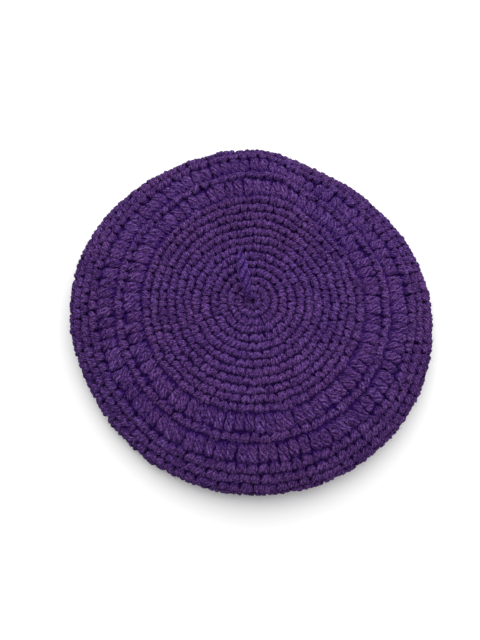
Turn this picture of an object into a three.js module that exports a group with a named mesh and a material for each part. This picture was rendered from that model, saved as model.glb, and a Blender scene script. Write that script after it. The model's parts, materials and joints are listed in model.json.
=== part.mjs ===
// Crochet beret lying on its band: crown, underside, band and stem.
// Millimetres, +Z up, the front towards -Y, azimuths in degrees anticlockwise from +X seen from above.
import * as THREE from 'three';

// Fabric
const wall = 4.5;
const gap = 0.3;
const stepsRound = 60;

// Crown: height of its middle, and the handles of the curve that runs from there to the rim
const crownHeight = 41;
const middleHandle = 0.1;
const rimHandle = 0.39;
const rimSlope = 55;
const foldRadius = 9;
const crownSteps = 12;
const foldSteps = 3;
const undersideSteps = 5;

// Rim: radius from the crown's middle, and height of the fold's centre, every 30 degrees from azimuth 0
const rimRows = [
  { azimuth: 0, radius: 126.5, foldHeight: 12 },
  { azimuth: 30, radius: 125, foldHeight: 11.5 },
  { azimuth: 60, radius: 121, foldHeight: 16 },
  { azimuth: 90, radius: 117.5, foldHeight: 21 },
  { azimuth: 120, radius: 121.5, foldHeight: 22 },
  { azimuth: 150, radius: 128, foldHeight: 20 },
  { azimuth: 180, radius: 128.5, foldHeight: 14.5 },
  { azimuth: 210, radius: 124, foldHeight: 10 },
  { azimuth: 240, radius: 124, foldHeight: 10 },
  { azimuth: 270, radius: 125, foldHeight: 14 },
  { azimuth: 300, radius: 126.5, foldHeight: 14 },
  { azimuth: 330, radius: 127, foldHeight: 14 },
];

// Crease across the back of the crown: a ridge with one gentle and one steep side, and a hollow beside it.
// Angles are in degrees, and starts and full are fractions of the way from the middle to the rim.
const crease = {
  azimuthInside: 77, azimuthAtRim: 85, turnsFrom: 0.55,
  height: 9.5, outward: 1.5, gentleSide: 32, steepSide: 9,
  hollowAzimuth: 45, hollowDepth: 2.5, hollowWidth: 18,
  starts: 0.25, full: 0.85,
};

// Band: the ring that goes round the head
const bandInnerRadius = 77.8;
const bandOuterRadius = 82.2;
const bandHeight = 17.4;
const bandEdge = 1;

// Stem: its curve leans to the back and a little to the left, and its thickness changes along it
const stemFoot = { x: -1.5, y: 2, lift: 0.9 };
const stemBend = { x: -5.5, y: 6, rise: 15 };
const stemTip = { x: -9, y: 30, rise: 17 };
const stemSides = 12;
const stemSections = [
  { along: 0, radius: 2.9 },
  { along: 0.2, radius: 2.8 },
  { along: 0.4, radius: 3.0 },
  { along: 0.6, radius: 3.4 },
  { along: 0.8, radius: 3.2 },
  { along: 0.93, radius: 2.4 },
];

const yarn = { color: 0x58397a, roughness: 0.95, metalness: 0 };
const stemYarn = { color: 0x5f44a0, roughness: 0.95, metalness: 0 };

// Value of a column of rimRows at any azimuth, on a smooth closed curve through the rows
function rimValue(column, azimuth) {
  const count = rimRows.length;
  const place = (((azimuth % 360) + 360) % 360) / (360 / count);
  const first = Math.floor(place);
  const u = place - first;
  const [a, b, c, d] = [-1, 0, 1, 2].map((step) => rimRows[(first + step + count) % count][column]);
  const linear = c - a;
  const square = 2 * a - 5 * b + 4 * c - d;
  const cube = 3 * b - a - 3 * c + d;
  return 0.5 * (2 * b + linear * u + square * u * u + cube * u * u * u);
}

// Angle from one azimuth to another, from -180 to 180 degrees
function turnFrom(from, to) {
  return ((((to - from + 180) % 360) + 360) % 360) - 180;
}

// How far the crease lifts the fabric and pushes it outward, at a fraction of the way to the rim
function creaseShift(azimuth, fraction, grow) {
  const towardRim = THREE.MathUtils.smoothstep(fraction, crease.turnsFrom, 1);
  const crest = THREE.MathUtils.lerp(crease.azimuthInside, crease.azimuthAtRim, towardRim);
  const away = turnFrom(crest, azimuth);
  const width = away > 0 ? crease.gentleSide : crease.steepSide;
  const ridge = Math.exp(-((away / width) ** 2));
  const hollow = Math.exp(-((turnFrom(crease.hollowAzimuth, azimuth) / crease.hollowWidth) ** 2));
  return {
    up: grow * (crease.height * ridge - crease.hollowDepth * hollow),
    out: grow * crease.outward * ridge,
  };
}

// A line of points with the unit normals of its outer side: { r, z, nr, nz }
function linePoint(r, z, nr, nz) {
  return { r, z, nr, nz };
}

function curvePoints(curve, steps) {
  return Array.from({ length: steps + 1 }, (_, i) => {
    const point = curve.getPoint(i / steps);
    const tangent = curve.getTangent(i / steps);
    return linePoint(point.x, point.y, -tangent.y, tangent.x);
  });
}

function foldPoints(rimRadius, foldHeight, fromDegrees, toDegrees, steps) {
  return Array.from({ length: steps + 1 }, (_, i) => {
    const angle = THREE.MathUtils.degToRad(THREE.MathUtils.lerp(fromDegrees, toDegrees, i / steps));
    const nr = Math.cos(angle);
    const nz = Math.sin(angle);
    return linePoint(rimRadius - foldRadius + foldRadius * nr, foldHeight + foldRadius * nz, nr, nz);
  });
}

// Outer line of the crown, from its middle to the outermost point of the fold
function crownLine(azimuth) {
  const radius = rimValue('radius', azimuth);
  const foldHeight = rimValue('foldHeight', azimuth);
  const fold = foldPoints(radius, foldHeight, rimSlope, 0, foldSteps);
  const start = fold[0];
  const handle = rimHandle * radius;
  const curve = new THREE.CubicBezierCurve(
    new THREE.Vector2(0, crownHeight),
    new THREE.Vector2(middleHandle * radius, crownHeight),
    new THREE.Vector2(start.r - handle * start.nz, start.z + handle * start.nr),
    new THREE.Vector2(start.r, start.z),
  );
  return [...curvePoints(curve, crownSteps), ...fold.slice(1)];
}

// Outer line of the underside, from the outermost point of the fold in to the band's inner face
function undersideLine(azimuth) {
  const radius = rimValue('radius', azimuth);
  const foldHeight = rimValue('foldHeight', azimuth);
  const fold = foldPoints(radius, foldHeight, 0, -90, foldSteps);
  fold[0].z -= gap;
  const start = fold[foldSteps];
  const seat = bandHeight + gap;
  const end = new THREE.Vector2(bandOuterRadius + bandEdge, seat);
  const handle = 0.4 * (start.r - end.x);
  const curve = new THREE.CubicBezierCurve(
    new THREE.Vector2(start.r, start.z),
    new THREE.Vector2(start.r - handle, start.z),
    new THREE.Vector2(end.x + handle, seat),
    end,
  );
  const edge = linePoint(bandInnerRadius - 2, seat, 0, -1);
  return [...fold, ...curvePoints(curve, undersideSteps).slice(1), edge];
}

// The inner side of a wall, one wall thickness in from the outer line, back to its start
function innerLine(outer) {
  return outer.map((p) => linePoint(p.r - wall * p.nr, p.z - wall * p.nz, -p.nr, -p.nz)).reverse();
}

function place(azimuth, r, z) {
  const angle = THREE.MathUtils.degToRad(azimuth);
  return new THREE.Vector3(r * Math.cos(angle), r * Math.sin(angle), z);
}

function crownSection(azimuth) {
  const outer = crownLine(azimuth);
  const radius = rimValue('radius', azimuth);
  return [...outer, ...innerLine(outer)].map(({ r, z }) => {
    const fraction = r / radius;
    const grow = THREE.MathUtils.smoothstep(fraction, crease.starts, crease.full);
    const shift = creaseShift(azimuth, fraction, grow);
    return place(azimuth, r + shift.out, z + shift.up);
  });
}

function undersideSection(azimuth) {
  const outer = undersideLine(azimuth);
  const radius = rimValue('radius', azimuth);
  return [...outer, ...innerLine(outer)].map(({ r, z }) => {
    const grow = THREE.MathUtils.smoothstep(r, bandOuterRadius + bandEdge, radius - foldRadius);
    const shift = creaseShift(azimuth, r / radius, grow);
    return place(azimuth, r + shift.out, z + shift.up);
  });
}

function bandSection(azimuth) {
  const inside = bandInnerRadius;
  const outside = bandOuterRadius;
  const corners = [
    [inside + bandEdge, bandHeight], [outside - bandEdge, bandHeight],
    [outside, bandHeight - bandEdge], [outside, bandEdge],
    [outside - bandEdge, 0], [inside + bandEdge, 0],
    [inside, bandEdge], [inside, bandHeight - bandEdge],
  ];
  return corners.map(([r, z]) => place(azimuth, r, z));
}

// Closed surface through sections that stand round an axis. With poles, every section starts at one
// shared point and ends at another; without, each section is a loop of its own.
function closedSurface(sections, poles) {
  const positions = [];
  const indices = [];
  const columns = sections[0].length;
  const first = poles ? 1 : 0;
  const last = poles ? columns - 2 : columns - 1;
  const perSection = last - first + 1;
  sections.forEach((section) => {
    section.slice(first, last + 1).forEach((point) => positions.push(point.x, point.y, point.z));
  });
  const at = (i, j) => (i % sections.length) * perSection + (j % perSection);
  const strips = poles ? perSection - 1 : perSection;
  for (let i = 0; i < sections.length; i += 1) {
    for (let j = 0; j < strips; j += 1) {
      indices.push(at(i, j), at(i, j + 1), at(i + 1, j + 1));
      indices.push(at(i, j), at(i + 1, j + 1), at(i + 1, j));
    }
  }
  if (poles) {
    const start = positions.length / 3;
    [sections[0][0], sections[0][columns - 1]].forEach((point) => positions.push(point.x, point.y, point.z));
    for (let i = 0; i < sections.length; i += 1) {
      indices.push(start, at(i, 0), at(i + 1, 0));
      indices.push(start + 1, at(i + 1, perSection - 1), at(i, perSection - 1));
    }
  }
  const geometry = new THREE.BufferGeometry();
  geometry.setAttribute('position', new THREE.Float32BufferAttribute(positions, 3));
  geometry.setIndex(indices);
  geometry.computeVertexNormals();
  return geometry;
}

function sectionsRound(sectionAt) {
  return Array.from({ length: stepsRound }, (_, i) => sectionAt((360 * i) / stepsRound));
}

// The stem's skin: one line from its tip to its foot for each of its sides
function stemGeometry() {
  const path = new THREE.QuadraticBezierCurve3(
    new THREE.Vector3(stemFoot.x, stemFoot.y, crownHeight + stemFoot.lift),
    new THREE.Vector3(stemBend.x, stemBend.y, crownHeight + stemBend.rise),
    new THREE.Vector3(stemTip.x, stemTip.y, crownHeight + stemTip.rise),
  );
  const side = new THREE.Vector3(1, 0, 0);
  const rings = stemSections.map(({ along, radius }) => {
    const centre = path.getPoint(along);
    const axis = along === 0 ? new THREE.Vector3(0, 0, 1) : path.getTangent(along);
    const back = new THREE.Vector3().crossVectors(axis, side).normalize();
    const across = new THREE.Vector3().crossVectors(back, axis).normalize();
    return Array.from({ length: stemSides }, (_, k) => {
      const angle = (2 * Math.PI * k) / stemSides;
      return centre.clone()
        .addScaledVector(across, radius * Math.cos(angle))
        .addScaledVector(back, radius * Math.sin(angle));
    });
  });
  const tip = path.getPoint(1);
  const foot = path.getPoint(0);
  const sections = Array.from({ length: stemSides }, (_, k) => {
    return [tip, ...rings.map((ring) => ring[k]).reverse(), foot];
  });
  return closedSurface(sections, true);
}

function piece(name, geometry, finish) {
  const mesh = new THREE.Mesh(geometry, new THREE.MeshStandardMaterial(finish));
  mesh.name = name;
  return mesh;
}

const pieces = new THREE.Group();
pieces.add(piece('crown', closedSurface(sectionsRound(crownSection), true), yarn));
pieces.add(piece('underside', closedSurface(sectionsRound(undersideSection), false), yarn));
pieces.add(piece('band', closedSurface(sectionsRound(bandSection), false), yarn));
pieces.add(piece('stem', stemGeometry(), stemYarn));

// The origin is on the surface that the beret lies on, under the middle of its outline
const outline = new THREE.Box3().setFromObject(pieces);
const middle = outline.getCenter(new THREE.Vector3());
pieces.position.set(-middle.x, -middle.y, -outline.min.z);

const beret = new THREE.Group();
beret.add(pieces);

export default beret;
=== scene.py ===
"""Crochet beret: its rounds of stitches, the stalk on top and the loose fibres, worked over the frame."""

import json
import math
from collections import namedtuple
from types import SimpleNamespace

import bmesh
import bpy
import numpy as np
from bpy.props import FloatProperty, FloatVectorProperty, IntProperty, PointerProperty
from bpy.types import Operator, Panel, PropertyGroup
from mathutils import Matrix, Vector

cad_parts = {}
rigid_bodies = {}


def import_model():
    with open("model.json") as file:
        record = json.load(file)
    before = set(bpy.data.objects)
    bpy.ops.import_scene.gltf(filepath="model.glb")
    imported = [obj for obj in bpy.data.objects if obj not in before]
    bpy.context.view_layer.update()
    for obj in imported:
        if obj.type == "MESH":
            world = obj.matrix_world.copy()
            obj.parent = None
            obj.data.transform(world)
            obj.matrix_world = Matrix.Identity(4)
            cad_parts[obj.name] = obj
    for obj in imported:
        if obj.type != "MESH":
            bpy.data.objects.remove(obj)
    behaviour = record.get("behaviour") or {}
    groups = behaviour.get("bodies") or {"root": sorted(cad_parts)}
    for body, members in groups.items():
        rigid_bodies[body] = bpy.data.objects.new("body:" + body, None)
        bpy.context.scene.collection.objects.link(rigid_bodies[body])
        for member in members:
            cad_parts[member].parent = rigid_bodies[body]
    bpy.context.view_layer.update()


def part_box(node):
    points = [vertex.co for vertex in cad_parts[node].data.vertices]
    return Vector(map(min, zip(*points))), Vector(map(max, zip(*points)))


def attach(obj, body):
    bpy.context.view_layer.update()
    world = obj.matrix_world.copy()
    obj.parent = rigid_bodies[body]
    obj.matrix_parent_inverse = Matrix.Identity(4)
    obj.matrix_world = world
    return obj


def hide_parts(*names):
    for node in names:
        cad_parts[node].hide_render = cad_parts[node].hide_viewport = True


bl_info = {
    "name": "Crochet Beret",
    "version": (1, 0, 0),
    "blender": (4, 5, 0),
    "location": "3D View > Sidebar > Beret",
    "description": "Works a round crocheted beret stitch by stitch",
    "category": "Add Mesh",
}

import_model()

# Shape of the fabric, in metres and degrees. Azimuths run anticlockwise from +X, seen from above.
CROWN_HEIGHT = 0.041
MIDDLE_HANDLE = 0.1
RIM_HANDLE = 0.39
RIM_SLOPE = 55.0
FOLD_RADIUS = 0.009
BAND_EDGE = 0.001
SEAM_GAP = 0.0003
UNDER_HANDLE = 0.4
# Points along the crown, round the fold of the rim and along the underside
CROWN_STEPS = 90
FOLD_STEPS = 34
UNDER_STEPS = 40

Rim = namedtuple("Rim", "azimuth radius fold_height")
RIM_ROWS = (
    Rim(0, 0.1265, 0.012),
    Rim(30, 0.125, 0.0115),
    Rim(60, 0.121, 0.016),
    Rim(90, 0.1175, 0.021),
    Rim(120, 0.1215, 0.022),
    Rim(150, 0.128, 0.020),
    Rim(180, 0.1285, 0.0145),
    Rim(210, 0.124, 0.010),
    Rim(240, 0.124, 0.010),
    Rim(270, 0.125, 0.014),
    Rim(300, 0.1265, 0.014),
    Rim(330, 0.127, 0.014),
)

# The crest of the crease turns from one azimuth to another on the way to the rim. Its sides and the
# hollow beside it have their widths in degrees, and it starts and is full at shares of the radius.
CREASE = SimpleNamespace(
    azimuth_inside=70, azimuth_at_rim=87, turns_from=0.5, height=0.0100, outward=0.0015,
    gentle_side=30, steep_side=7.5, steep_widening=0.6, hollow_azimuth=46, hollow_depth=0.0025,
    hollow_width=18, starts=0.25, full=0.85)

# The rounds of stitches, from the middle of the crown outward
Round = namedtuple("Round", "kind stitches height")
SHORT = 0.0058
TALL_INNER = 0.0139
TALL_OUTER = 0.0141
EDGE = 0.0069
INCREASE = 6
CROWN_ROUNDS = (
    *(Round("short", INCREASE * k, SHORT) for k in range(1, 13)),
    Round("short", 74, SHORT),
    Round("tall", 76, TALL_INNER),
    Round("short", 84, SHORT),
    Round("tall", 88, TALL_OUTER),
    Round("short", 96, EDGE),
    Round("short", 100, EDGE),
    Round("short", 100, EDGE),
)
# Stitches in the rounds of decreases under the rim, which share what is left of the way to the band
UNDERSIDE_STITCHES = (100, 98, 94, 90, 86, 82, 78, 76)
FABRIC_ROUNDS = CROWN_ROUNDS + tuple(Round("under", n, 0.0) for n in UNDERSIDE_STITCHES)
BAND_ROUNDS = 3
BAND_STITCHES = 76
# Lower edge of the band above the floor, and how far its middle swells
BAND_LOWEST = 0.0017
BAND_BULGE = 0.0006

BAND_LOW, BAND_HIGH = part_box("band")
AXIS = Vector(((BAND_LOW.x + BAND_HIGH.x) / 2, (BAND_LOW.y + BAND_HIGH.y) / 2, 0.0))
BAND_RADIUS = (BAND_HIGH.x - BAND_LOW.x) / 2
BAND_TOP = BAND_HIGH.z

MM = 0.001
# Nothing reaches below this: only the third number limits anything
ON_FLOOR = (-9.0, -9.0, 0.0002)

# Columns of the guide surfaces, and the share of a turn by which they run on at each end
FABRIC_COLUMNS = 281
BAND_COLUMNS = 141
TURN_MARGIN = 0.2
# How far the guides reach past their first and last round, in rounds
INNER_MARGIN = 0.5
OUTER_MARGIN = 0.6
BAND_MARGIN = 0.7

# How far each stitch leans past the one below, in stitches, and how firmly it is held by it
LEAN = 0.2
GRIP = 0.03
# Seed of the places where a round gains or loses stitches
ROUND_SEED = 11
# Depth of the short stitches in the first round, as a share of the full depth, and what each round adds
FIRST_DEPTH = 0.86
DEPTH_GAIN = 0.05
# Least and most that a stitch is stretched along its round, across it and in depth
SWELL_LEAST = (0.97, 0.95, 0.9)
SWELL_MOST = (1.12, 1.06, 1.09)
# Scales of the noise that moves the fabric and of the noise that ruffles the strands
WANDER_SCALE = 95.0
RAGGED_SCALE = 560.0

# Versions of each stitch and of a loose fibre
VARIANTS = 7
FIBRE_VARIANTS = 6
# Plies of the yarn, and the fewest sides with which a strand shows them
PLIES = 4
PLY_SIDES = 16
# Millimetres of yarn in one unit of its UV map
YARN_UNIT = 10.0

# A short stitch, in millimetres: its cell, the height about which it leans and how its strands stray
SHORT_CELL = (6.0, 5.8)
SHORT_MIDDLE = 2.8
SHORT_LEAN = 0.09
SHORT_STRAY = 0.25
# A tall stitch, in millimetres: its cell, and the post of yarns that turn round each other
TALL_CELL = (7.0, 13.9)
TALL_STRAY = 0.42
POST_YARNS = 5
POST_FOOT = 0.4
POST_HEIGHT = 13.0
POST_LENGTH = 13.2
POST_HALF_DEPTH = 1.1
POST_TWIST_LENGTH = 21.0
# Heights of the bars behind a tall stitch, against the height of its foot
BAR_STEPS = (-2.6, -0.7, 1.6, 4.0, 6.4, 8.7, 10.8, 12.6)

# The stalk, in millimetres: the points that its middle line follows, and its yarns
STEM_FOOT = (-1.5, 2.0, 41.9)
STEM_BEND = (-5.5, 6.0, 56.0)
STEM_TIP = (-9.0, 30.0, 58.0)
STEM_YARNS = 3
STEM_TWIST_LENGTH = 19.0
STEM_STEPS = 34
STEM_STATIONS = 52
STEM_SIDES = 16
STEM_TONE = 0.7
# Depth in metres given to the heart of the stalk, which its material turns into painted shade between the
# stalk's yarns
STEM_SHADE_DEPTH = 0.014

# Radius of a loose fibre as a share of its length
FIBRE_RADIUS = 0.016
# Depth in metres below which no loose fibre stands
FIBRE_DEPTH = -0.0014
# Loose fibres on the underside and on the stalk, against those on the crown
UNDERSIDE_FUZZ = 0.4
STEM_FUZZ = 3.0

FLOOR_HALF = 3.0
FLOOR_TONE = (0.8, 0.8, 0.8, 1.0)
KEY_SIZE = 2.4
KEY_PLACE = (0.1, 0.62, 1.15)
KEY_AIM = (0.0, 0.0, 0.03)


class BeretYarn(PropertyGroup):
    """The yarn and how evenly it is worked."""

    thickness: FloatProperty(
        name="Yarn", description="Thickness of a strand where it lies in a stitch",
        default=0.0029, min=0.001, unit="LENGTH")
    ply_relief: FloatProperty(
        name="Ply relief", description="How far the plies stand out, as a share of the radius",
        default=0.14, min=0.0, max=0.4, subtype="FACTOR")
    twist: FloatProperty(
        name="Twist", description="Turns of the plies in a metre of yarn", default=75.0)
    looseness: FloatProperty(
        name="Looseness", description="How far a stitch strays from its place, in stitches",
        default=0.08, min=0.0, max=0.5)
    unevenness: FloatProperty(
        name="Unevenness", description="How far the fabric wanders from its smooth shape",
        default=0.0024, min=0.0, unit="LENGTH")
    raggedness: FloatProperty(
        name="Raggedness", description="How far the strands are ruffled",
        default=0.0021, min=0.0, unit="LENGTH")
    fuzz_length: FloatProperty(
        name="Fuzz length", description="Length of the loose fibres", default=0.0034, unit="LENGTH")
    fuzz_density: FloatProperty(
        name="Fuzz density", description="Loose fibres to a square metre of strand", default=135000.0)
    seed: IntProperty(name="Seed", description="Changes where the stitches stray", default=7)


class BeretColours(PropertyGroup):
    """Colours of the yarn, as the light leaves them."""

    crown: FloatVectorProperty(
        name="Crown yarn", description="Deep purple of the whole fabric", subtype="COLOR",
        size=3, default=(0.0685, 0.0264, 0.1390), min=0.0, max=1.0)
    crown_warm: FloatVectorProperty(
        name="Warm patches", description="Redder purple that the yarn drifts to", subtype="COLOR",
        size=3, default=(0.0760, 0.0275, 0.1310), min=0.0, max=1.0)
    stem: FloatVectorProperty(
        name="Stalk yarn", description="Bluer, lighter purple of the stalk", subtype="COLOR",
        size=3, default=(0.0800, 0.0325, 0.1760), min=0.0, max=1.0)


class BeretStage(PropertyGroup):
    """Camera and light."""

    camera_height: FloatProperty(
        name="Camera height", description="Height of the camera above the floor",
        default=0.4946, unit="LENGTH")
    camera_back: FloatProperty(
        name="Camera to the front", description="Distance of the camera in front of the middle",
        default=0.1534, unit="LENGTH")
    camera_side: FloatProperty(
        name="Camera to the left", description="Distance of the camera to the left of the middle",
        default=0.0088, unit="LENGTH")
    camera_tilt: FloatProperty(
        name="Tilt", description="Angle of the view from straight down",
        default=math.radians(17.16), subtype="ANGLE")
    lens: FloatProperty(name="Lens", description="Focal length in millimetres", default=40.2)
    key_power: FloatProperty(name="Key", description="Power of the large light behind", default=31.0)
    sky: FloatProperty(name="Sky", description="Strength of the light from all round", default=0.64)


def in_scene(name, data):
    """A new object, linked to the scene."""
    made = bpy.data.objects.new(name, data)
    bpy.context.scene.collection.objects.link(made)
    return made


def mark(mesh, name, values, kind="FLOAT_VECTOR"):
    """Gives every point of a mesh its value of a new attribute."""
    field = "value" if kind == "FLOAT" else "vector"
    data = mesh.attributes.new(name, kind, "POINT").data
    data.foreach_set(field, values.reshape(-1).astype(np.float32))


def smooth_step(value, low, high):
    share = np.clip((value - low) / (high - low), 0.0, 1.0)
    return share * share * (3.0 - 2.0 * share)


def between(a, b, c, d, u):
    """The value a share u of the way from b to c, on a smooth curve from a through to d."""
    return 0.5 * (
        2 * b + (c - a) * u + (2 * a - 5 * b + 4 * c - d) * u * u + (3 * b - a - 3 * c + d) * u**3
    )


def rim_value(column, azimuth):
    """A column of RIM_ROWS at any azimuth, on a smooth closed curve through the rows."""
    count = len(RIM_ROWS)
    place = (azimuth % 360.0) / (360.0 / count)
    first = int(place)
    values = (getattr(RIM_ROWS[(first + step) % count], column) for step in (-1, 0, 1, 2))
    return between(*values, place - first)


def turn_from(start, end):
    return (end - start + 180.0) % 360.0 - 180.0


def crease_shift(azimuth, fraction, grow):
    """How far the crease lifts the fabric and pushes it outward."""
    toward_rim = smooth_step(fraction, CREASE.turns_from, 1.0)
    crest = CREASE.azimuth_inside + (CREASE.azimuth_at_rim - CREASE.azimuth_inside) * toward_rim
    away = turn_from(crest, azimuth)
    steep_side = CREASE.steep_side * (1.0 + CREASE.steep_widening * toward_rim)
    width = np.where(away > 0.0, CREASE.gentle_side, steep_side)
    ridge = np.exp(-((away / width) ** 2))
    hollow = math.exp(-((turn_from(CREASE.hollow_azimuth, azimuth) / CREASE.hollow_width) ** 2))
    up = grow * (CREASE.height * ridge - CREASE.hollow_depth * hollow)
    return up, grow * CREASE.outward * ridge


def cubic(p0, p1, p2, p3, count):
    u = np.linspace(0.0, 1.0, count)[:, None]
    return (1 - u) ** 3 * p0 + 3 * u * (1 - u) ** 2 * p1 + 3 * u * u * (1 - u) * p2 + u**3 * p3


def meridian(azimuth):
    """Outer line of the fabric at an azimuth, from the middle over the rim and in to the band."""
    radius = rim_value("radius", azimuth)
    fold_height = rim_value("fold_height", azimuth)
    slope = math.radians(RIM_SLOPE)
    hub = np.array([radius - FOLD_RADIUS, fold_height])
    start = hub + FOLD_RADIUS * np.array([math.cos(slope), math.sin(slope)])
    back = RIM_HANDLE * radius * np.array([-math.sin(slope), math.cos(slope)])
    middle = np.array([0.0, CROWN_HEIGHT])
    crown = cubic(middle, middle + [MIDDLE_HANDLE * radius, 0.0], start + back, start, CROWN_STEPS)
    angles = np.linspace(slope, -math.pi / 2, FOLD_STEPS)[1:]
    fold = hub + FOLD_RADIUS * np.stack([np.cos(angles), np.sin(angles)], 1)
    low = fold[-1]
    seat = np.array([BAND_RADIUS + BAND_EDGE, BAND_TOP + SEAM_GAP])
    reach = np.array([UNDER_HANDLE * (low[0] - seat[0]), 0.0])
    under = cubic(low, low - reach, seat + reach, seat, UNDER_STEPS)[1:]
    line = np.vstack([crown, fold, under])
    last_of_fold = len(crown) + len(fold)
    fraction = line[:, 0] / radius
    grow = smooth_step(fraction, CREASE.starts, CREASE.full)
    grow[last_of_fold:] = smooth_step(
        line[last_of_fold:, 0], BAND_RADIUS + BAND_EDGE, radius - FOLD_RADIUS)
    up, out = crease_shift(azimuth, fraction, grow)
    return line + np.stack([out, up], 1)


def round_edges(line):
    """Arc lengths along a meridian at which the rounds begin and end."""
    arc = np.concatenate([[0.0], np.cumsum(np.linalg.norm(np.diff(line, axis=0), axis=1))])
    crown = np.concatenate([[0.0], np.cumsum([r.height for r in CROWN_ROUNDS])])
    count = len(UNDERSIDE_STITCHES)
    left = arc[-1] - crown[-1]
    return arc, np.concatenate([crown, crown[-1] + left * np.arange(1, count + 1) / count])


def guide_object(name, points, turns, rows):
    """A surface whose point attribute "place" says which turn and which share of the rounds it is at."""
    columns, steps = points.shape[0], points.shape[1]
    along = np.gradient(points, axis=1)
    around = np.gradient(points, axis=0)
    out = np.cross(along, around)
    out /= np.maximum(np.linalg.norm(out, axis=2, keepdims=True), 1e-12)
    place = np.zeros_like(points)
    place[..., 0] = turns[:, None]
    place[..., 1] = rows[None, :]
    index = np.arange(columns * steps).reshape(columns, steps)
    faces = np.stack(
        [index[:-1, :-1], index[:-1, 1:], index[1:, 1:], index[1:, :-1]], -1).reshape(-1, 4)
    mesh = bpy.data.meshes.new(name)
    mesh.from_pydata(points.reshape(-1, 3).tolist(), [], faces.tolist())
    mark(mesh, "place", place)
    mark(mesh, "outside", out)
    return in_scene(name, mesh)


def fabric_guide(name):
    """The surface of the crown and the underside. Round k lies between k / total and (k + 1) / total."""
    total = len(FABRIC_ROUNDS)
    rows = np.concatenate([
        [-INNER_MARGIN], np.linspace(0.0, total, total * 4 + 1), [total + OUTER_MARGIN]])
    turns = np.linspace(-TURN_MARGIN, 1.0 + TURN_MARGIN, FABRIC_COLUMNS)
    points = np.zeros((len(turns), len(rows), 3))
    for i, turn in enumerate(turns):
        line = meridian(360.0 * turn)
        arc, edges = round_edges(line)
        at = np.interp(rows, np.arange(total + 1), edges)
        at[0] = -INNER_MARGIN * SHORT
        at[-1] = arc[-1] + OUTER_MARGIN * (edges[-1] - edges[-2])
        radius = np.interp(at, arc, line[:, 0])
        height = np.interp(at, arc, line[:, 1])
        radius[0] = at[0]
        radius[-1] -= at[-1] - arc[-1]
        angle = 2 * math.pi * turn
        points[i] = np.stack([radius * math.cos(angle), radius * math.sin(angle), height], 1)
    return guide_object(name, points + np.array(AXIS), turns, rows / total)


def band_guide():
    """The outer face of the band, its rounds worked downward, its lower edge turned in."""
    rows = np.concatenate([
        [-BAND_MARGIN], np.linspace(0.0, BAND_ROUNDS, BAND_ROUNDS * 4 + 1), [BAND_ROUNDS + BAND_MARGIN]])
    turns = np.linspace(-TURN_MARGIN, 1.0 + TURN_MARGIN, BAND_COLUMNS)
    row_height = (BAND_TOP - BAND_LOWEST) / BAND_ROUNDS
    height = BAND_TOP - row_height * np.minimum(rows, BAND_ROUNDS)
    radius = BAND_RADIUS + BAND_BULGE * np.sin(np.pi * np.clip(rows / BAND_ROUNDS, 0.0, 1.0))
    radius[-1] -= BAND_MARGIN * row_height
    angle = 2 * math.pi * turns
    points = np.stack([
        np.cos(angle)[:, None] * radius, np.sin(angle)[:, None] * radius,
        np.repeat(height[None, :], len(turns), 0)], -1)
    return guide_object("band_guide", points + np.array(AXIS), turns, rows / BAND_ROUNDS)


def through(points, count):
    """A smooth curve through a few points."""
    points = np.array(points, float)
    ends = np.vstack([2 * points[0] - points[1], points, 2 * points[-1] - points[-2]])
    places = np.linspace(0.0, len(points) - 1.0, count)
    first = np.minimum(places.astype(int), len(points) - 2)
    u = (places - first)[:, None]
    return between(*(ends[first + step] for step in range(4)), u)


def strand(points, yarn, width, depth, stations, sides, ends, twist=None, lines=PLIES,
           across=(1.0, 0.0, 0.0), radii=1.0):
    """A closed stretch of plied yarn through points in millimetres: its vertices, faces and face UVs."""
    path = through(points, stations)
    length = np.concatenate([[0.0], np.cumsum(np.linalg.norm(np.diff(path, axis=0), axis=1))])
    tangent = np.gradient(path, axis=0)
    tangent /= np.linalg.norm(tangent, axis=1, keepdims=True)
    side = np.array(across) - tangent * (tangent @ np.array(across))[:, None]
    side /= np.maximum(np.linalg.norm(side, axis=1, keepdims=True), 1e-9)
    normal = np.cross(side, tangent)
    share = length / length[-1]
    taper = np.interp(share, (0.0, 0.25, 0.75, 1.0), (ends[0], 1.0, 1.0, ends[1]))
    radius = yarn.thickness / MM / 2 * taper * radii
    angle = 2 * math.pi * np.arange(sides) / sides
    relief = yarn.ply_relief if sides >= PLY_SIDES else 0.0
    bumps = 1.0 + relief * np.cos(PLIES * angle)
    turned = angle[None, :] + 2 * math.pi * (twist or yarn.twist) * MM * length[:, None]
    reach = radius[:, None] * bumps[None, :]
    verts = (
        path[:, None, :]
        + side[:, None, :] * (np.cos(turned) * reach * width)[..., None]
        + normal[:, None, :] * (np.sin(turned) * reach * depth)[..., None]
    ).reshape(-1, 3)
    faces, uvs = [], []
    lap = lines / PLIES / sides
    for j in range(stations - 1):
        for k in range(sides):
            after = (k + 1) % sides
            near, far = j * sides, (j + 1) * sides
            faces.append((near + k, near + after, far + after, far + k))
            uvs += [(length[j], k * lap), (length[j], (k + 1) * lap),
                    (length[j + 1], (k + 1) * lap), (length[j + 1], k * lap)]
    last = (stations - 1) * sides
    faces.append(tuple(range(sides))[::-1])
    faces.append(tuple(last + k for k in range(sides)))
    uvs += [(length[0], k * lap) for k in range(sides)][::-1]
    uvs += [(length[-1], k * lap) for k in range(sides)]
    return verts, faces, uvs


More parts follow.
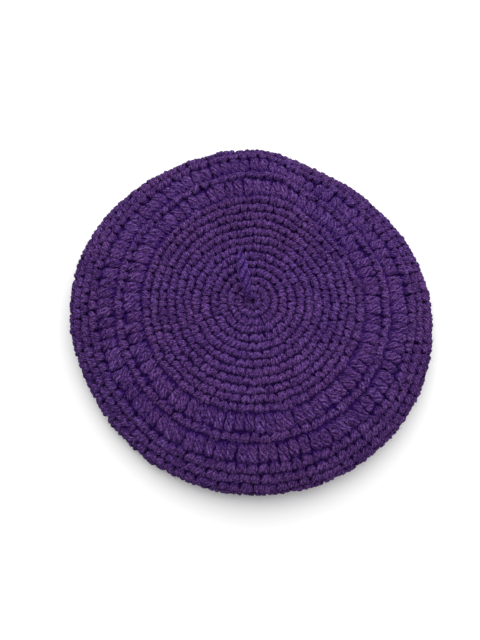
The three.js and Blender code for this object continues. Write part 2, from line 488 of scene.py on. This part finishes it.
def yarn_mesh(name, strands, place):
    """One mesh of some strands, each point put in its place, with the UV map of the yarn."""
    verts, faces, uvs = [], [], []
    for strand_verts, strand_faces, strand_uvs in strands:
        start = len(verts)
        verts += [place(point) for point in strand_verts]
        faces += [tuple(start + index for index in face) for face in strand_faces]
        uvs += [(along / YARN_UNIT, around) for along, around in strand_uvs]
    mesh = bpy.data.meshes.new(name)
    mesh.from_pydata(verts, [], faces)
    layer = mesh.uv_layers.new(name="yarn")
    layer.data.foreach_set("uv", np.array(uvs, np.float32).reshape(-1))
    return mesh


def stitch_object(name, strands, cell):
    """One stitch in a cell one unit wide and one unit high, whose depth stays in metres."""
    def in_cell(point):
        return point[0] / cell[0], point[1] / cell[1], point[2] * MM

    return bpy.data.objects.new(name, yarn_mesh(name, strands, in_cell))


def mirrored(points):
    return [(-x, y, z) for x, y, z in points]


def leaning(points, lean):
    """The points of a strand pushed sideways, more the farther out they are."""
    return [(x + lean * (y - SHORT_MIDDLE), y, z) for x, y, z in points]


def strayed(points, rng, amount):
    """The points of a strand moved a little, in millimetres, and less in depth."""
    points = np.array(points, float)
    return points + rng.normal(0.0, amount, points.shape) * (1.0, 1.0, 0.6)


def strand_behind(points, yarn):
    """A short flat strand that crosses the back of a stitch."""
    return strand(points, yarn, 1.35, 0.75, stations=5, sides=5, ends=(1, 1), across=(0, 1, 0))


def short_stitch(yarn, seed, plain=False):
    """A short stitch: two fat legs that spread outward from one foot, and the loop and bar behind them."""
    rng = np.random.default_rng(seed)
    lean = rng.normal(0.0, SHORT_LEAN)
    leg = [(-0.65, 0.4, -4.4), (-0.7, 0.7, -3.0), (-0.9, 1.6, -1.45), (-1.3, 2.85, -0.7),
           (-1.6, 4.05, -1.15), (-1.7, 4.85, -2.7), (-1.7, 5.05, -4.4)]
    loop = [(-3.1, 5.8, -3.7), (-1.5, 6.1, -3.4), (0.2, 5.5, -3.6), (1.7, 6.0, -3.4), (3.1, 5.8, -3.7)]
    bar = [(-3.1, 2.4, -3.6), (-1.4, 3.1, -3.4), (0.0, 2.7, -3.3), (1.5, 3.1, -3.4), (3.1, 2.4, -3.6)]
    sides, stations = (6, 7) if plain else (8, 9)
    strands = [
        strand(strayed(leaning(points, lean), rng, SHORT_STRAY), yarn, 1.22, 0.95, stations, sides,
               ends=(0.75, 0.95), lines=6)
        for points in (leg, mirrored(leg))]
    strands += [strand_behind(row, yarn) for row in (loop, bar)]
    return stitch_object("plain_stitch" if plain else "short_stitch", strands, SHORT_CELL)


def tall_stitch(yarn, seed):
    """A tall stitch: a flat post of yarns that turn round each other, with the bars behind it."""
    rng = np.random.default_rng(seed)
    rise = np.linspace(0.0, 1.0, 9)
    middle = np.interp(rise, (0.0, 0.07, 0.2, 0.8, 0.93, 1.0), (-4.4, -3.2, -2.25, -2.25, -3.1, -4.4))
    spread = np.interp(rise, (0.0, 0.15, 0.5, 0.85, 1.0), (1.8, 2.15, 2.3, 2.15, 1.8))
    strands = []
    for k in range(POST_YARNS):
        turn = 2 * math.pi * (k / POST_YARNS + seed * 0.3 - POST_LENGTH * rise / POST_TWIST_LENGTH)
        post = np.stack([
            spread * np.cos(turn), POST_FOOT + POST_HEIGHT * rise,
            middle + POST_HALF_DEPTH * np.sin(turn)], 1)
        strands.append(strand(
            strayed(post, rng, TALL_STRAY), yarn, 0.92, 0.85, stations=12, sides=7, ends=(0.8, 0.8),
            twist=-25.0))
    bar = [(-3.6, 2.6, -4.1), (-1.6, 3.1, -3.7), (0.0, 2.7, -3.6), (1.7, 3.2, -3.7), (3.6, 2.6, -4.1)]
    bars = [[(x, y + step, z) for x, y, z in bar] for step in BAR_STEPS]
    strands += [strand_behind(row, yarn) for row in bars]
    return stitch_object("tall_stitch", strands, TALL_CELL)


def variants(name, make, *args):
    """A collection with a few versions of a stitch, which the rounds pick from."""
    group = bpy.data.collections.new(name)
    for seed in range(VARIANTS):
        group.objects.link(make(bpy.context.scene.beret_yarn, seed, *args))
    bpy.context.scene.collection.children.link(group)
    return group


class Nodes:
    """A node tree that is built a node at a time."""

    def __init__(self, tree):
        self.tree = tree

    def feed(self, socket, value):
        """Links the socket to another one, or sets it to a plain value."""
        if isinstance(value, bpy.types.NodeSocket):
            self.tree.links.new(value, socket)
        else:
            socket.default_value = value

    def node(self, kind, inputs=None, **settings):
        made = self.tree.nodes.new(kind)
        for label, value in settings.items():
            setattr(made, label, value)
        for label, value in (inputs or {}).items():
            self.feed(made.inputs[label], value)
        return made


class Tree(Nodes):
    """A Geometry Nodes tree with named inputs."""

    def __init__(self, name, wants):
        super().__init__(bpy.data.node_groups.new(name, "GeometryNodeTree"))
        sockets = self.tree.interface
        sockets.new_socket(name="Geometry", in_out="OUTPUT", socket_type="NodeSocketGeometry")
        for label, kind in (("Geometry", "Geometry"), *wants.items()):
            sockets.new_socket(name=label, in_out="INPUT", socket_type=f"NodeSocket{kind}")
        self.source = self.node("NodeGroupInput")
        self.result = self.node("NodeGroupOutput")

    def given(self, name):
        return self.source.outputs[name]

    def attribute(self, name, kind="FLOAT_VECTOR"):
        made = self.node("GeometryNodeInputNamedAttribute", {"Name": name}, data_type=kind)
        return made.outputs["Attribute"]

    def position(self):
        return self.node("GeometryNodeInputPosition").outputs[0]

    def vector(self, operation, first, second):
        return self.node("ShaderNodeVectorMath", {0: first, 1: second}, operation=operation).outputs[0]

    def scaled(self, vector, scale):
        inputs = {0: vector, "Scale": scale}
        return self.node("ShaderNodeVectorMath", inputs, operation="SCALE").outputs[0]

    def random(self, kind, low, high):
        """A random value from low to high for each element."""
        inputs = {"Min": low, "Max": high, "Seed": self.given("Seed")}
        made = self.node("FunctionNodeRandomValue", inputs, data_type=kind)
        return made.outputs[("FLOAT_VECTOR", "FLOAT", "INT").index(kind)]

    def ruffle(self, where, scale, amount):
        """A push in a direction that changes smoothly from place to place."""
        noise = self.node("ShaderNodeTexNoise", {"Vector": where, "Scale": scale, "Detail": 1.0})
        return self.scaled(self.vector("SUBTRACT", noise.outputs["Color"], (0.5, 0.5, 0.5)), amount)

    def scatter(self, points, collection, count, **inputs):
        """One of a collection's objects on each point, with a tone of its own, all made real."""
        stock = self.node("GeometryNodeCollectionInfo", {
            "Collection": collection, "Separate Children": True})
        placed = self.node("GeometryNodeInstanceOnPoints", {
            "Points": points, "Instance": stock.outputs[0], "Pick Instance": True,
            "Instance Index": self.random("INT", 0, count - 1), **inputs})
        toned = self.node("GeometryNodeStoreNamedAttribute", {
            "Geometry": placed.outputs[0], "Name": "tone", "Value": self.random("FLOAT", 0.0, 1.0)},
            domain="INSTANCE", data_type="FLOAT")
        return self.node("GeometryNodeRealizeInstances", {"Geometry": toned.outputs[0]}).outputs[0]

    def ends(self, geometry, spot, material):
        """Moves the points to their spots above the floor, shades them smooth and gives the material."""
        moved = self.node("GeometryNodeSetPosition", {
            "Geometry": geometry, "Position": self.vector("MAXIMUM", spot, ON_FLOOR)})
        smooth = self.node("GeometryNodeSetShadeSmooth", {"Geometry": moved.outputs[0]})
        coloured = self.node("GeometryNodeSetMaterial", {
            "Geometry": smooth.outputs[0], "Material": material})
        self.feed(self.result.inputs["Geometry"], coloured.outputs[0])
        return self.tree


def rounds_tree(name):
    """Puts a stitch on every point, then wraps the flat strip of stitches over the guide surface."""
    tree = Tree(name, {
        "Stitches": "Collection", "Guide": "Object", "Looseness": "Float", "Unevenness": "Float",
        "Raggedness": "Float", "Seed": "Int", "Yarn": "Material"})
    guide = tree.node("GeometryNodeObjectInfo", {"Object": tree.given("Guide")}).outputs["Geometry"]
    size = tree.attribute("size")
    stray = tree.vector("MULTIPLY", tree.random("FLOAT_VECTOR", (-1, -0.6, 0), (1, 0.6, 0)), size)
    strayed = tree.node("GeometryNodeSetPosition", {
        "Geometry": tree.given("Geometry"), "Offset": tree.scaled(stray, tree.given("Looseness"))})
    swell = tree.random("FLOAT_VECTOR", SWELL_LEAST, SWELL_MOST)
    strip = tree.scatter(
        strayed.outputs[0], tree.given("Stitches"), VARIANTS, Scale=tree.vector("MULTIPLY", size, swell))
    parts = tree.node("ShaderNodeSeparateXYZ", {0: tree.position()})
    height = parts.outputs["Z"]
    strip = tree.node("GeometryNodeStoreNamedAttribute", {
        "Geometry": strip, "Name": "depth", "Value": height}, domain="POINT", data_type="FLOAT").outputs[0]
    flat = tree.node("ShaderNodeCombineXYZ", {"X": parts.outputs["X"], "Y": parts.outputs["Y"]}).outputs[0]

    def sampled(value):
        return tree.node("GeometryNodeSampleUVSurface", {
            "Mesh": guide, "Value": value, "Source UV Map": tree.attribute("place"),
            "Sample UV": flat}, data_type="FLOAT_VECTOR").outputs[0]

    ground = sampled(tree.position())
    outside = tree.node(
        "ShaderNodeVectorMath", {0: sampled(tree.attribute("outside"))}, operation="NORMALIZE").outputs[0]
    raised = tree.vector("ADD", ground, tree.scaled(outside, height))
    wander = tree.ruffle(ground, WANDER_SCALE, tree.given("Unevenness"))
    ragged = tree.ruffle(raised, RAGGED_SCALE, tree.given("Raggedness"))
    spot = tree.vector("ADD", raised, tree.vector("ADD", wander, ragged))
    return tree.ends(strip, spot, tree.given("Yarn"))


def baked(name, source, tree, values):
    """A plain mesh object of what the tree makes from a source object, with no modifier left."""
    modifier = source.modifiers.new("work", "NODES")
    modifier.node_group = tree
    for item in tree.interface.items_tree:
        if item.item_type == "SOCKET" and item.in_out == "INPUT" and item.name in values:
            modifier[item.identifier] = values[item.name]
    graph = bpy.context.evaluated_depsgraph_get()
    mesh = bpy.data.meshes.new_from_object(source.evaluated_get(graph), depsgraph=graph)
    mesh.name = name
    bpy.data.objects.remove(source)
    if not len(mesh.polygons):
        raise RuntimeError(f"{name} came out empty")
    return in_scene(name, mesh)


def worked_into(parents, count, rng):
    """Turns at which the stitches of a round stand, each worked into one of the round below."""
    own = len(parents)
    change = abs(count - own)
    picked = set(((np.arange(change) + rng.random()) * own / max(change, 1)).astype(int) % own)
    pitch = 1.0 / own
    wanted = []
    skip = False
    for i, turn in enumerate(parents):
        if skip:
            skip = False
        elif i in picked and count > own:
            wanted += [turn - 0.25 * pitch, turn + 0.25 * pitch]
        elif i in picked and i + 1 < own:
            wanted.append(turn + 0.5 * pitch)
            skip = True
        else:
            wanted.append(turn)
    wanted = np.array(wanted) + LEAN / count
    count = len(wanted)
    even = np.arange(count) / count
    even += (wanted - even).mean()
    pull = (2.0 + GRIP) * np.eye(count) - np.roll(np.eye(count), 1, 0) - np.roll(np.eye(count), -1, 0)
    return even + np.linalg.solve(pull, GRIP * (wanted - even))


def worked_rounds(rounds):
    """The turns and widths of the stitches in each round, from the first outward."""
    rng = np.random.default_rng(ROUND_SEED)
    turns = np.arange(rounds[0].stitches) / rounds[0].stitches
    for row in rounds:
        if row is not rounds[0]:
            turns = worked_into(turns, row.stitches, rng)
        around = np.concatenate([[turns[-1] - 1.0], turns, [turns[0] + 1.0]])
        yield turns, (around[2:] - around[:-2]) / 2


def stitch_points(name, rounds, first, count):
    """One point for each stitch of some rounds, at the middle of its foot, with the size of its cell."""
    total = len(rounds)
    places, sizes = [], []
    for k, (turns, widths) in enumerate(worked_rounds(rounds)):
        if not first <= k < first + count:
            continue
        foot = np.full(len(turns), k / total)
        places.append(np.stack([turns % 1.0, foot, np.zeros(len(turns))], 1))
        depth = min(1.0, FIRST_DEPTH + DEPTH_GAIN * k) if rounds[k].kind == "short" else 1.0
        sizes.append(np.stack([widths, foot * 0 + 1.0 / total, foot * 0 + depth], 1))
    mesh = bpy.data.meshes.new(name)
    mesh.from_pydata(np.vstack(places).tolist(), [], [])
    mark(mesh, "size", np.vstack(sizes))
    return in_scene(name, mesh)


def made_once(name, make, *args):
    """Something that several pieces share."""
    for store in (bpy.data.objects, bpy.data.collections, bpy.data.node_groups, bpy.data.materials):
        if name in store:
            return store[name]
    return make(name, *args)


def work(name, rounds, first, count, guide, stitches, node, seed):
    """Works some rounds of stitches over a guide as one piece that stands for a node."""
    yarn = bpy.context.scene.beret_yarn
    points = stitch_points(name + "_points", rounds, first, count)
    tree = made_once("worked rounds", rounds_tree)
    piece = baked(name, points, tree, {
        "Stitches": stitches, "Guide": guide, "Looseness": yarn.looseness,
        "Unevenness": yarn.unevenness, "Raggedness": yarn.raggedness, "Seed": yarn.seed + seed,
        "Yarn": crown_yarn()})
    finished(piece, node)


def finished(piece, node):
    """Has the piece stand for a node of the frame."""
    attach(piece, "root")
    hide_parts(node)


class Shader(Nodes):
    """A material's node tree."""

    def __init__(self, name):
        self.material = bpy.data.materials.new(name)
        self.material.use_nodes = True
        super().__init__(self.material.node_tree)

    def attribute(self, name):
        return self.node("ShaderNodeAttribute", attribute_name=name).outputs["Fac"]

    def maths(self, operation, first, second=0.0):
        return self.node("ShaderNodeMath", {0: first, 1: second}, operation=operation).outputs[0]

    def noise(self, where, scale):
        inputs = {"Vector": where, "Scale": scale, "Detail": 2.0}
        return self.node("ShaderNodeTexNoise", inputs).outputs[0]

    def spread(self, value, low, high, to_low, to_high):
        """The value moved from the range of low to high to another one, and held in it."""
        inputs = {"Value": value, "From Min": low, "From Max": high, "To Min": to_low, "To Max": to_high}
        return self.node("ShaderNodeMapRange", inputs).outputs[0]

    def grey(self, value):
        return self.node("ShaderNodeCombineXYZ", {"X": value, "Y": value, "Z": value}).outputs[0]

    def mix(self, share, first, second, blend="MIX"):
        """Two colours mixed. A Mix node has its colours in inputs 6 and 7 and in output 2."""
        inputs = {"Factor": share, 6: first, 7: second}
        return self.node("ShaderNodeMix", inputs, data_type="RGBA", blend_type=blend).outputs[2]

    def covers(self, **values):
        """Sets the shader's own sockets, whose names are given with underscores."""
        surface = self.tree.nodes["Principled BSDF"]
        for label, value in values.items():
            self.feed(surface.inputs[label.replace("_", " ")], value)
        return self.material


def opaque(colour, factor=1.0):
    return (*(min(1.0, c * factor) for c in colour), 1.0)


def yarn_material(name, colour, drift):
    """Fluffy plied yarn: fine fibres along the plies, tone by stitch, painted shade in grooves and pits,
    and painted highlights.
    """
    shader = Shader(name)
    uv = shader.node("ShaderNodeUVMap", uv_map="yarn").outputs[0]
    where = shader.node("ShaderNodeTexCoord").outputs["Object"]
    tone = shader.attribute("tone")
    depth = shader.attribute("depth")
    parts = shader.node("ShaderNodeSeparateXYZ", {0: uv})
    turn = shader.maths("MULTIPLY", parts.outputs["Y"], 2 * math.pi)
    ply = shader.maths("COSINE", shader.maths("MULTIPLY", turn, PLIES))
    # The noise of the fibres lies on a ring, so it closes round the strand, and is drawn out along it
    ring = shader.node("ShaderNodeCombineXYZ", {
        "X": shader.maths("COSINE", turn), "Y": shader.maths("SINE", turn),
        "Z": shader.maths("MULTIPLY", parts.outputs["X"], 2.4)}).outputs[0]
    fibre = shader.node("ShaderNodeTexNoise", {
        "Vector": ring, "W": shader.maths("MULTIPLY", tone, 60.0), "Scale": 1.9, "Detail": 2.0,
        "Roughness": 0.62}, noise_dimensions="4D").outputs[0]
    patches = shader.noise(where, 26.0)
    flecks = shader.noise(where, 640.0)
    base = shader.mix(shader.spread(patches, 0.38, 0.62, 0.0, 1.0), opaque(colour), opaque(drift))
    # The factor light is the yarn's own tone from fibres, flecks and stitches, times the ply wave: painted
    # shade in the grooves between plies and painted highlight on their ridges
    light = shader.spread(fibre, 0.3, 0.7, 0.66, 1.3)
    for value, *limits in (
            (flecks, 0.34, 0.66, 0.48, 1.6), (ply, -1.0, 1.0, 0.68, 1.28), (tone, 0.0, 1.0, 0.86, 1.14)):
        light = shader.maths("MULTIPLY", light, shader.spread(value, *limits))
    lit = shader.mix(1.0, base, shader.grey(light), "MULTIPLY")
    # Painted light: the colour is lighter toward the middle of the crown and darker toward the rim
    outward = shader.node("ShaderNodeVectorMath", {0: where}, operation="LENGTH").outputs["Value"]
    lit = shader.mix(1.0, lit, shader.grey(shader.spread(outward, 0.0, 0.13, 1.26, 0.84)), "MULTIPLY")
    # Painted highlight: where the factor light is high, the colour is mixed toward a greyer pale lilac, a
    # painted sheen
    pale = (colour[0] * 2.4, colour[1] * 4.2, colour[2] * 1.8)
    lit = shader.mix(shader.spread(light, 0.95, 2.4, 0.0, 0.45), lit, opaque(pale))
    # Painted shade: where the factor light is low, mostly in the grooves between plies, the colour is
    # mixed toward dark blue
    painted_shade_colour = (colour[0] * 0.34, colour[1] * 0.10, colour[2] * 0.70)
    lit = shader.mix(shader.spread(light, 0.8, 0.25, 0.0, 0.6), lit, opaque(painted_shade_colour))
    # Painted shade: halfway through the fabric, in the pits and grooves between strands, the colour is
    # mixed to the dark blue of shade, and its back is as light as its front
    pit_shade = shader.maths(
        "MULTIPLY", shader.spread(depth, -0.0028, -0.0004, 1.0, 0.0),
        shader.spread(depth, -0.0046, -0.0036, 0.0, 1.0))
    relief = shader.maths("ADD", shader.maths("MULTIPLY", ply, 0.5), shader.maths("MULTIPLY", fibre, 2.0))
    bump = shader.node("ShaderNodeBump", {"Height": relief, "Strength": 0.9, "Distance": 0.0006})
    return shader.covers(
        Base_Color=shader.mix(pit_shade, lit, opaque(painted_shade_colour)), Normal=bump.outputs[0], Roughness=0.95,
        Specular_IOR_Level=0.08, Sheen_Weight=0.08, Sheen_Roughness=0.55, Sheen_Tint=opaque(colour, 4.0))


def fibre_material(name, colour):
    """Single fibres, each a little lighter or darker, painted up to three times lighter than the yarn as a
    painted sheen.
    """
    shader = Shader(name)
    # Painted sheen: each fibre is a random share of the way from the yarn's colour to three times as light
    base = shader.mix(shader.attribute("tone"), opaque(colour), opaque(colour, 3.0))
    return shader.covers(Base_Color=base, Roughness=0.7, Specular_IOR_Level=0.3)


def crown_yarn():
    colours = bpy.context.scene.beret_colours
    return made_once("crown yarn", yarn_material, colours.crown, colours.crown_warm)


def fabric_rounds(name, first, count, stitch_name, make_stitch, node, seed, *args):
    """Works some rounds of the crown or the underside."""
    stitches = made_once(stitch_name, variants, make_stitch, *args)
    guide = made_once("fabric_guide", fabric_guide)
    work(name, FABRIC_ROUNDS, first, count, guide, stitches, node, seed)


class BERET_OT_middle_rounds(Operator):
    """Work the short rounds that spread from the middle of the crown"""

    bl_idname = "beret.middle_rounds"
    bl_label = "Middle Rounds"

    def execute(self, context):
        fabric_rounds("crown_middle_rounds", 0, 9, "short_stitches", short_stitch, "crown", 0)
        fabric_rounds("crown_outer_rounds", 9, 4, "short_stitches", short_stitch, "crown", 1)
        return {"FINISHED"}


class BERET_OT_tall_rounds(Operator):
    """Work the two rounds of tall stitches and the short round between them"""

    bl_idname = "beret.tall_rounds"
    bl_label = "Tall Rounds"

    def execute(self, context):
        fabric_rounds("crown_inner_tall_round", 13, 1, "tall_stitches", tall_stitch, "crown", 2)
        fabric_rounds("crown_parting_round", 14, 1, "short_stitches", short_stitch, "crown", 3)
        fabric_rounds("crown_outer_tall_round", 15, 1, "tall_stitches", tall_stitch, "crown", 4)
        return {"FINISHED"}


class BERET_OT_edge_rounds(Operator):
    """Work the short rounds that turn over the rim"""

    bl_idname = "beret.edge_rounds"
    bl_label = "Edge Rounds"

    def execute(self, context):
        fabric_rounds("crown_edge_rounds", 16, 3, "short_stitches", short_stitch, "crown", 5)
        return {"FINISHED"}


class BERET_OT_underside_rounds(Operator):
    """Work the rounds of decreases from the rim in to the band"""

    bl_idname = "beret.underside_rounds"
    bl_label = "Underside Rounds"

    def execute(self, context):
        first = len(CROWN_ROUNDS)
        count = len(UNDERSIDE_STITCHES)
        fabric_rounds(
            "underside_rounds", first, count, "plain_stitches", short_stitch, "underside", 6, True)
        return {"FINISHED"}


class BERET_OT_band(Operator):
    """Work the plain rounds of the head band"""

    bl_idname = "beret.band"
    bl_label = "Band"

    def execute(self, context):
        rounds = [Round("band", BAND_STITCHES, SHORT) for _ in range(BAND_ROUNDS)]
        stitches = made_once("plain_stitches", variants, short_stitch, True)
        work("band_rounds", rounds, 0, BAND_ROUNDS, band_guide(), stitches, "band", 7)
        return {"FINISHED"}


def stem_curve(count):
    """Middle line of the stalk and its radius along it, in millimetres from the floor under the middle."""
    foot, bend, tip = (np.array(point) for point in (STEM_FOOT, STEM_BEND, STEM_TIP))
    u = np.linspace(0.0, 1.0, count)
    line = (1 - u)[:, None] ** 2 * foot + (2 * u * (1 - u))[:, None] * bend + (u**2)[:, None] * tip
    radius = np.interp(u, (0.0, 0.2, 0.4, 0.6, 0.8, 0.93, 1.0), (2.6, 2.6, 3.0, 3.6, 3.4, 2.1, 0.8))
    return line, radius


def stem_strands(yarn):
    """The stalk's yarns, twisted round each other and drawn together at the tip, with a depth for painted
    shade where they face the heart of the stalk.
    """
    line, radius = stem_curve(STEM_STEPS)
    tangent = np.gradient(line, axis=0)
    tangent /= np.linalg.norm(tangent, axis=1, keepdims=True)
    side = np.array([1.0, 0.0, 0.0]) - tangent * tangent[:, :1]
    side /= np.linalg.norm(side, axis=1, keepdims=True)
    up = np.cross(side, tangent)
    length = np.concatenate([[0.0], np.cumsum(np.linalg.norm(np.diff(line, axis=0), axis=1))])
    yarn_radius = yarn.thickness / MM / 2
    radii = np.interp(
        np.linspace(0, 1, STEM_STATIONS), np.linspace(0, 1, STEM_STEPS), radius * 0.56 / yarn_radius)
    for k in range(STEM_YARNS):
        turn = 2 * math.pi * (k / STEM_YARNS - length / STEM_TWIST_LENGTH)
        wobble = 1.0 + 0.16 * np.sin(length * 1.1 + 2.1 * k)
        away = (0.5 * radius * wobble)[:, None]
        path = line + away * (side * np.cos(turn)[:, None] + up * np.sin(turn)[:, None])
        made = strand(path, yarn, 1.0, 1.0, STEM_STATIONS, STEM_SIDES, ends=(0.75, 0.75), twist=120.0,
                      lines=6, radii=radii)
        apart = np.linalg.norm(made[0][:, None, :] - line[None, :, :], axis=2)
        outward = apart.min(axis=1) / radius[apart.argmin(axis=1)]
        # Painted shade: the sides of a yarn that face the heart of the stalk get a depth that the material
        # darkens
        yield made, np.clip(outward - 0.95, -1.0, 0.0) * STEM_SHADE_DEPTH


class BERET_OT_stem(Operator):
    """Twist the yarns of the stalk that stands on the middle of the crown"""

    bl_idname = "beret.stem"
    bl_label = "Stalk"

    def execute(self, context):
        strands, shade_depths = zip(*stem_strands(context.scene.beret_yarn))
        mesh = yarn_mesh("stem_yarns", strands, lambda point: tuple(Vector(point) * MM + AXIS))
        mesh.shade_smooth()
        shade_depths = np.concatenate(shade_depths)
        mark(mesh, "tone", np.full(len(shade_depths), STEM_TONE), "FLOAT")
        # The stalk's depth attribute carries its painted shade, not a real depth
        mark(mesh, "depth", shade_depths, "FLOAT")
        colour = context.scene.beret_colours.stem
        mesh.materials.append(yarn_material("stalk yarn", colour, colour))
        finished(in_scene("stem_yarns", mesh), "stem")
        return {"FINISHED"}


def fibre(seed):
    """One loose fibre, a unit long, that leaves its root and bends over."""
    rng = np.random.default_rng(seed)
    lean = rng.uniform(0.5, 1.0)
    spine = [(0.0, 0.0, -0.1), (0.35 * lean, 0.1, 0.3), (0.95 * lean, rng.uniform(-0.4, 0.4), 0.35)]
    verts = []
    for x, y, z in spine[:2]:
        for k in range(3):
            turn = 2 * math.pi * k / 3
            verts.append((x, y + FIBRE_RADIUS * math.cos(turn), z + FIBRE_RADIUS * math.sin(turn)))
    verts.append(spine[2])
    faces = [(k, (k + 1) % 3, 3 + (k + 1) % 3, 3 + k) for k in range(3)]
    faces += [(3 + k, 3 + (k + 1) % 3, 6) for k in range(3)] + [(2, 1, 0)]
    mesh = bpy.data.meshes.new("fibre")
    mesh.from_pydata(verts, [], faces)
    return bpy.data.objects.new("fibre", mesh)


def fibres(name):
    """A collection with a few versions of a loose fibre."""
    group = bpy.data.collections.new(name)
    for seed in range(FIBRE_VARIANTS):
        group.objects.link(fibre(seed))
    bpy.context.scene.collection.children.link(group)
    return group


def fuzz_tree(name):
    """Stands loose fibres on the outer side of the strands."""
    tree = Tree(name, {
        "Fibres": "Collection", "Density": "Float", "Length": "Float", "Seed": "Int", "Fibre": "Material"})
    outer = tree.node(
        "FunctionNodeCompare", {0: tree.attribute("depth", "FLOAT"), 1: FIBRE_DEPTH},
        operation="GREATER_THAN").outputs[0]
    points = tree.node("GeometryNodeDistributePointsOnFaces", {
        "Mesh": tree.given("Geometry"), "Selection": outer, "Density": tree.given("Density"),
        "Seed": tree.given("Seed")})
    spin = tree.random("FLOAT_VECTOR", (-0.5, -0.5, 0), (0.5, 0.5, 6.283))
    turned = tree.node("FunctionNodeRotateRotation", {
        "Rotation": points.outputs["Rotation"], "Rotate By": spin}, rotation_space="LOCAL").outputs[0]
    size = tree.node("ShaderNodeMath", {
        0: tree.random("FLOAT", 0.5, 1.4), 1: tree.given("Length")}, operation="MULTIPLY").outputs[0]
    real = tree.scatter(
        points.outputs["Points"], tree.given("Fibres"), FIBRE_VARIANTS, Rotation=turned, Scale=size)
    return tree.ends(real, tree.position(), tree.given("Fibre"))


def grow_fuzz(name, pieces, density, colour, node):
    """Loose fibres on some pieces, as one piece of their own."""
    yarn = bpy.context.scene.beret_yarn
    mesh = bpy.data.meshes.new(name)
    gathered = bmesh.new()
    for piece in pieces:
        gathered.from_mesh(bpy.data.objects[piece].data)
    gathered.to_mesh(mesh)
    gathered.free()
    source = in_scene(name + "_base", mesh)
    piece = baked(name, source, made_once("loose fibres", fuzz_tree), {
        "Fibres": made_once("fibres", fibres), "Density": density, "Length": yarn.fuzz_length,
        "Seed": yarn.seed, "Fibre": fibre_material(name + "_fibre", colour)})
    finished(piece, node)


class BERET_OT_fuzz(Operator):
    """Stand loose fibres on the crown, the underside and the stalk"""

    bl_idname = "beret.fuzz"
    bl_label = "Fuzz"

    def execute(self, context):
        colours = context.scene.beret_colours
        density = context.scene.beret_yarn.fuzz_density
        crown = ("crown_middle_rounds", "crown_outer_rounds", "crown_inner_tall_round",
                 "crown_parting_round", "crown_outer_tall_round", "crown_edge_rounds")
        grow_fuzz("crown_fuzz", crown, density, colours.crown, "crown")
        grow_fuzz("underside_fuzz", ("underside_rounds",), density * UNDERSIDE_FUZZ, colours.crown,
                  "underside")
        grow_fuzz("stem_fuzz", ("stem_yarns",), density * STEM_FUZZ, colours.stem, "stem")
        return {"FINISHED"}


class BERET_OT_stage(Operator):
    """Set the floor, the light and the camera"""

    bl_idname = "beret.stage"
    bl_label = "Stage"

    def execute(self, context):
        stage = context.scene.beret_stage
        set_floor()
        set_light(stage)
        set_camera(stage)
        return {"FINISHED"}


def set_floor():
    mesh = bpy.data.meshes.new("floor")
    sides = ((-1, -1), (1, -1), (1, 1), (-1, 1))
    mesh.from_pydata([(x * FLOOR_HALF, y * FLOOR_HALF, 0.0) for x, y in sides], [], [(0, 1, 2, 3)])
    mesh.materials.append(Shader("pale floor").covers(Base_Color=FLOOR_TONE, Roughness=0.8))
    floor = in_scene("floor", mesh)


def set_light(stage):
    world = bpy.data.worlds.new("studio")
    world.use_nodes = True
    background = world.node_tree.nodes["Background"]
    background.inputs["Color"].default_value = (1.0, 1.0, 1.0, 1.0)
    background.inputs["Strength"].default_value = stage.sky
    bpy.context.scene.world = world
    light = bpy.data.lights.new("key", "AREA")
    light.shape = "DISK"
    light.size = KEY_SIZE
    light.energy = stage.key_power
    key = in_scene("key", light)
    key.location = KEY_PLACE
    key.rotation_euler = (Vector(KEY_AIM) - key.location).to_track_quat("-Z", "Y").to_euler()
    bpy.context.scene.view_settings.view_transform = "Standard"


def set_camera(stage):
    data = bpy.data.cameras.new("camera")
    data.sensor_width = 36.0
    data.lens = stage.lens
    data.clip_start = 0.01
    camera = in_scene("camera", data)
    camera.location = AXIS + Vector((-stage.camera_side, -stage.camera_back, stage.camera_height))
    camera.rotation_euler = (stage.camera_tilt, 0.0, 0.0)
    bpy.context.scene.camera = camera


class BERET_PT_panel(Panel):
    """The beret's sizes and the steps that make it"""

    bl_label = "Crochet Beret"
    bl_space_type = "VIEW_3D"
    bl_region_type = "UI"
    bl_category = "Beret"

    def draw(self, context):
        for group in GROUPS:
            settings = getattr(context.scene, group)
            box = self.layout.box()
            for name in settings.__annotations__:
                box.prop(settings, name)
        for step in STEPS:
            self.layout.operator(step.bl_idname)


STEPS = (
    BERET_OT_stage,
    BERET_OT_middle_rounds,
    BERET_OT_tall_rounds,
    BERET_OT_edge_rounds,
    BERET_OT_underside_rounds,
    BERET_OT_band,
    BERET_OT_stem,
    BERET_OT_fuzz,
)
GROUPS = {"beret_yarn": BeretYarn, "beret_colours": BeretColours, "beret_stage": BeretStage}
CLASSES = (*GROUPS.values(), *STEPS, BERET_PT_panel)


def register():
    for kind in CLASSES:
        bpy.utils.register_class(kind)
    for name, kind in GROUPS.items():
        setattr(bpy.types.Scene, name, PointerProperty(type=kind))


def unregister():
    for name in GROUPS:
        delattr(bpy.types.Scene, name)
    for kind in reversed(CLASSES):
        bpy.utils.unregister_class(kind)


def clear_helpers():
    """Takes away the guides and the single stitches that the pieces were made from."""
    for name in ("short_stitches", "plain_stitches", "tall_stitches", "fibres"):
        group = bpy.data.collections[name]
        for stitch in list(group.objects):
            bpy.data.objects.remove(stitch)
        bpy.data.collections.remove(group)
    for name in ("fabric_guide", "band_guide"):
        bpy.data.objects.remove(bpy.data.objects[name])


def main():
    register()
    for step in STEPS:
        group, name = step.bl_idname.split(".")
        getattr(getattr(bpy.ops, group), name)()
    clear_helpers()


if __name__ == "__main__":
    main()
